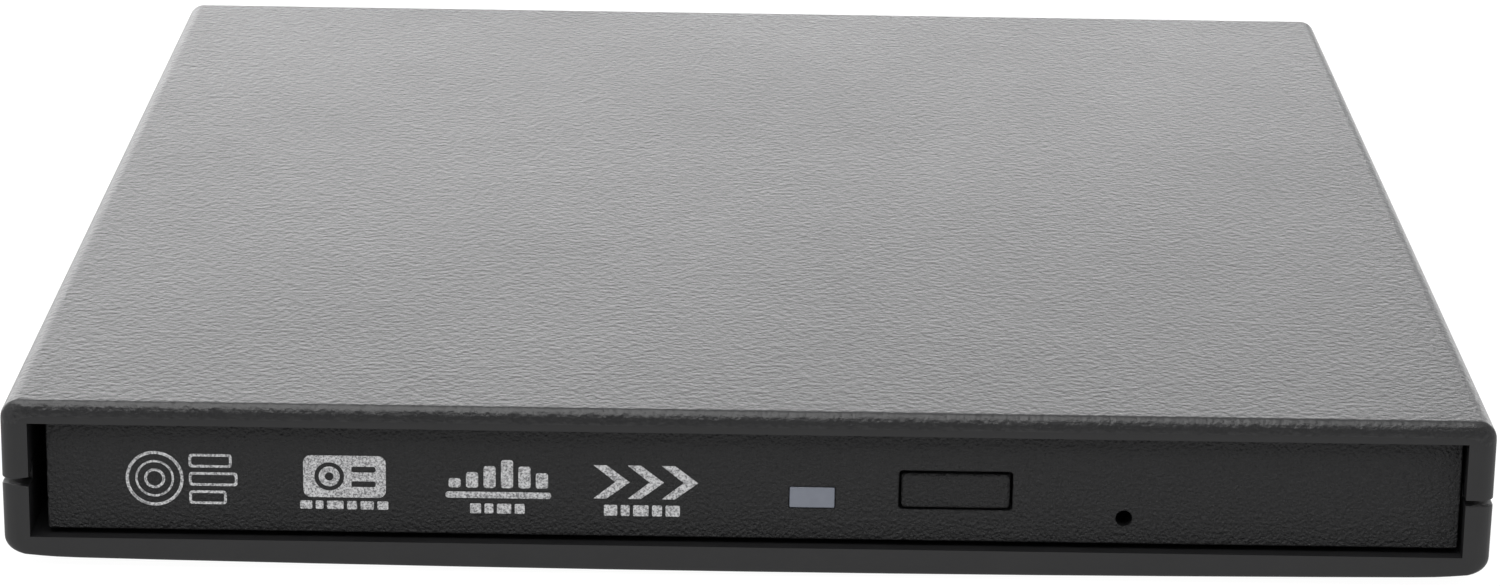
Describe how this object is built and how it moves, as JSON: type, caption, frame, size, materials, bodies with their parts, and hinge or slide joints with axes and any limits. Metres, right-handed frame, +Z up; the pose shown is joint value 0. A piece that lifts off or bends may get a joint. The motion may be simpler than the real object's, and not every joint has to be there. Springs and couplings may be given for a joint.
{
  "type": "external optical drive",
  "caption": "Slim external optical drive: a flat two-part plastic case round a tray-loading disc drive, with a front eject button, status window and rear ports.",
  "frame": {"origin": "middle of the footprint, on the surface that the rubber feet stand on", "axes": "+Z up, -Y towards the front bezel that the tray opens through, +X to the right seen from the front"},
  "size_m": [0.135, 0.15, 0.0158],
  "materials": {
    "case_plastic": "moulded, fine leather grain on top",
    "bezel_plastic": "moulded, fine spark texture",
    "button_plastic": "moulded, fine spark texture",
    "led_plastic": "translucent smoke grey",
    "foot_rubber": "matte",
    "sheet_steel": "plated sheet",
    "bright_steel": "plated",
    "board": "solder mask",
    "chip": "moulded epoxy",
    "tray_plastic": "moulded",
    "nylon": "natural",
    "lens_glass": "coated lens",
    "flex": "polyimide film",
    "copper_coil": "lacquered winding"
  },
  "bodies": {
    "enclosure": {"top_cover": "case_plastic", "bottom_cover": "case_plastic", "foot_front_left": "foot_rubber", "foot_front_right": "foot_rubber", "foot_rear_left": "foot_rubber", "foot_rear_right": "foot_rubber", "case_screw_left": "sheet_steel", "case_screw_right": "sheet_steel", "bridge_board": "board", "bridge_chip": "chip", "bridge_crystal": "sheet_steel", "sata_socket": "chip", "usb_socket_shell": "bright_steel", "usb_socket_tongue": "chip", "power_jack": "chip", "power_jack_pin": "bright_steel", "drive_bracket": "sheet_steel", "bracket_screw": "sheet_steel", "drive_case": "sheet_steel", "drive_lid": "sheet_steel", "rail_guide_left": "nylon", "rail_guide_right": "nylon", "drive_board": "board", "drive_chip": "chip", "sata_plug": "chip", "latch_post": "bright_steel", "ribbon_cable": "flex"},
    "rail_left": {"slide_rail_left": "bright_steel"},
    "rail_right": {"slide_rail_right": "bright_steel"},
    "tray_unit": {"tray": "tray_plastic", "tray_base_plate": "sheet_steel", "bezel": "bezel_plastic", "led_window": "led_plastic", "status_led": "nylon", "tray_board": "board", "eject_switch": "chip", "traverse_frame": "sheet_steel", "traverse_cover": "sheet_steel", "spindle_motor_base": "sheet_steel", "main_guide_rod": "bright_steel", "sub_guide_rod": "bright_steel", "feed_motor": "sheet_steel", "solenoid": "copper_coil", "eject_spring": "bright_steel", "eject_plunger": "nylon"},
    "button": {"eject_button": "button_plastic"},
    "spindle": {"spindle_rotor": "bright_steel", "turntable": "chip"},
    "pawl_1": {"clamp_pawl_1": "nylon"},
    "pawl_2": {"clamp_pawl_2": "nylon"},
    "pawl_3": {"clamp_pawl_3": "nylon"},
    "sled": {"pickup_sled": "sheet_steel"},
    "lens": {"lens_holder": "chip", "objective_lens": "lens_glass"},
    "screw": {"lead_screw": "bright_steel"},
    "latch": {"latch_lever": "nylon"},
    "armature": {"solenoid_plunger": "bright_steel"}
  },
  "joints": [
    {"name": "tray_slide", "type": "slide", "parent": "enclosure", "child": "tray_unit", "axis": [0, -1, 0], "range_m": [0, 0.126], "deforming": ["ribbon_cable"]},
    {"name": "rail_left_slide", "type": "slide", "parent": "enclosure", "child": "rail_left", "axis": [0, -1, 0], "range_m": [0, 0.063]},
    {"name": "rail_right_slide", "type": "slide", "parent": "enclosure", "child": "rail_right", "axis": [0, -1, 0], "range_m": [0, 0.063]},
    {"name": "eject_press", "type": "slide", "parent": "tray_unit", "child": "button", "axis": [0, 1, 0], "range_m": [0, 0.0006], "stiffness_N_per_m": 400, "springref_m": -0.0004},
    {"name": "spindle_spin", "type": "hinge", "parent": "tray_unit", "child": "spindle", "pos_m": [0.00053, -0.009, 0.0105], "axis": [0, 0, 1], "continuous": true},
    {"name": "pawl_1_press", "type": "slide", "parent": "spindle", "child": "pawl_1", "axis": [0.682, 0.7314, 0], "range_m": [0, 0.0006], "stiffness_N_per_m": 300, "springref_m": -0.0003},
    {"name": "pawl_2_press", "type": "slide", "parent": "spindle", "child": "pawl_2", "axis": [-0.9744, 0.225, 0], "range_m": [0, 0.0006], "stiffness_N_per_m": 300, "springref_m": -0.0003},
    {"name": "pawl_3_press", "type": "slide", "parent": "spindle", "child": "pawl_3", "axis": [0.2924, -0.9563, 0], "range_m": [0, 0.0006], "stiffness_N_per_m": 300, "springref_m": -0.0003},
    {"name": "sled_slide", "type": "slide", "parent": "tray_unit", "child": "sled", "axis": [-0.682, -0.7314, 0], "range_m": [0, 0.034]},
    {"name": "lens_focus", "type": "slide", "parent": "sled", "child": "lens", "axis": [0, 0, 1], "range_m": [-0.0003, 0.0003], "stiffness_N_per_m": 60},
    {"name": "lead_screw_spin", "type": "hinge", "parent": "tray_unit", "child": "screw", "pos_m": [0.00828, -0.01623, 0.0073], "axis": [-0.682, -0.7314, 0], "range_deg": [0, 4085]},
    {"name": "latch_turn", "type": "hinge", "parent": "tray_unit", "child": "latch", "pos_m": [0.047, -0.049, 0.0066], "axis": [0, 0, -1], "range_deg": [0, 12]},
    {"name": "armature_pull", "type": "slide", "parent": "tray_unit", "child": "armature", "axis": [-1, 0, 0], "range_m": [0, 0.00104], "stiffness_N_per_m": 60, "springref_m": -0.0005}
  ],
  "couplings": [
    {"joint": "rail_left_slide", "follows": "tray_slide", "ratio": 0.5},
    {"joint": "rail_right_slide", "follows": "tray_slide", "ratio": 0.5},
    {"joint": "lead_screw_spin", "follows": "sled_slide", "rad_per_m": 2094.4},
    {"joint": "latch_turn", "follows": "armature_pull", "rad_per_m": 200}
  ]
}
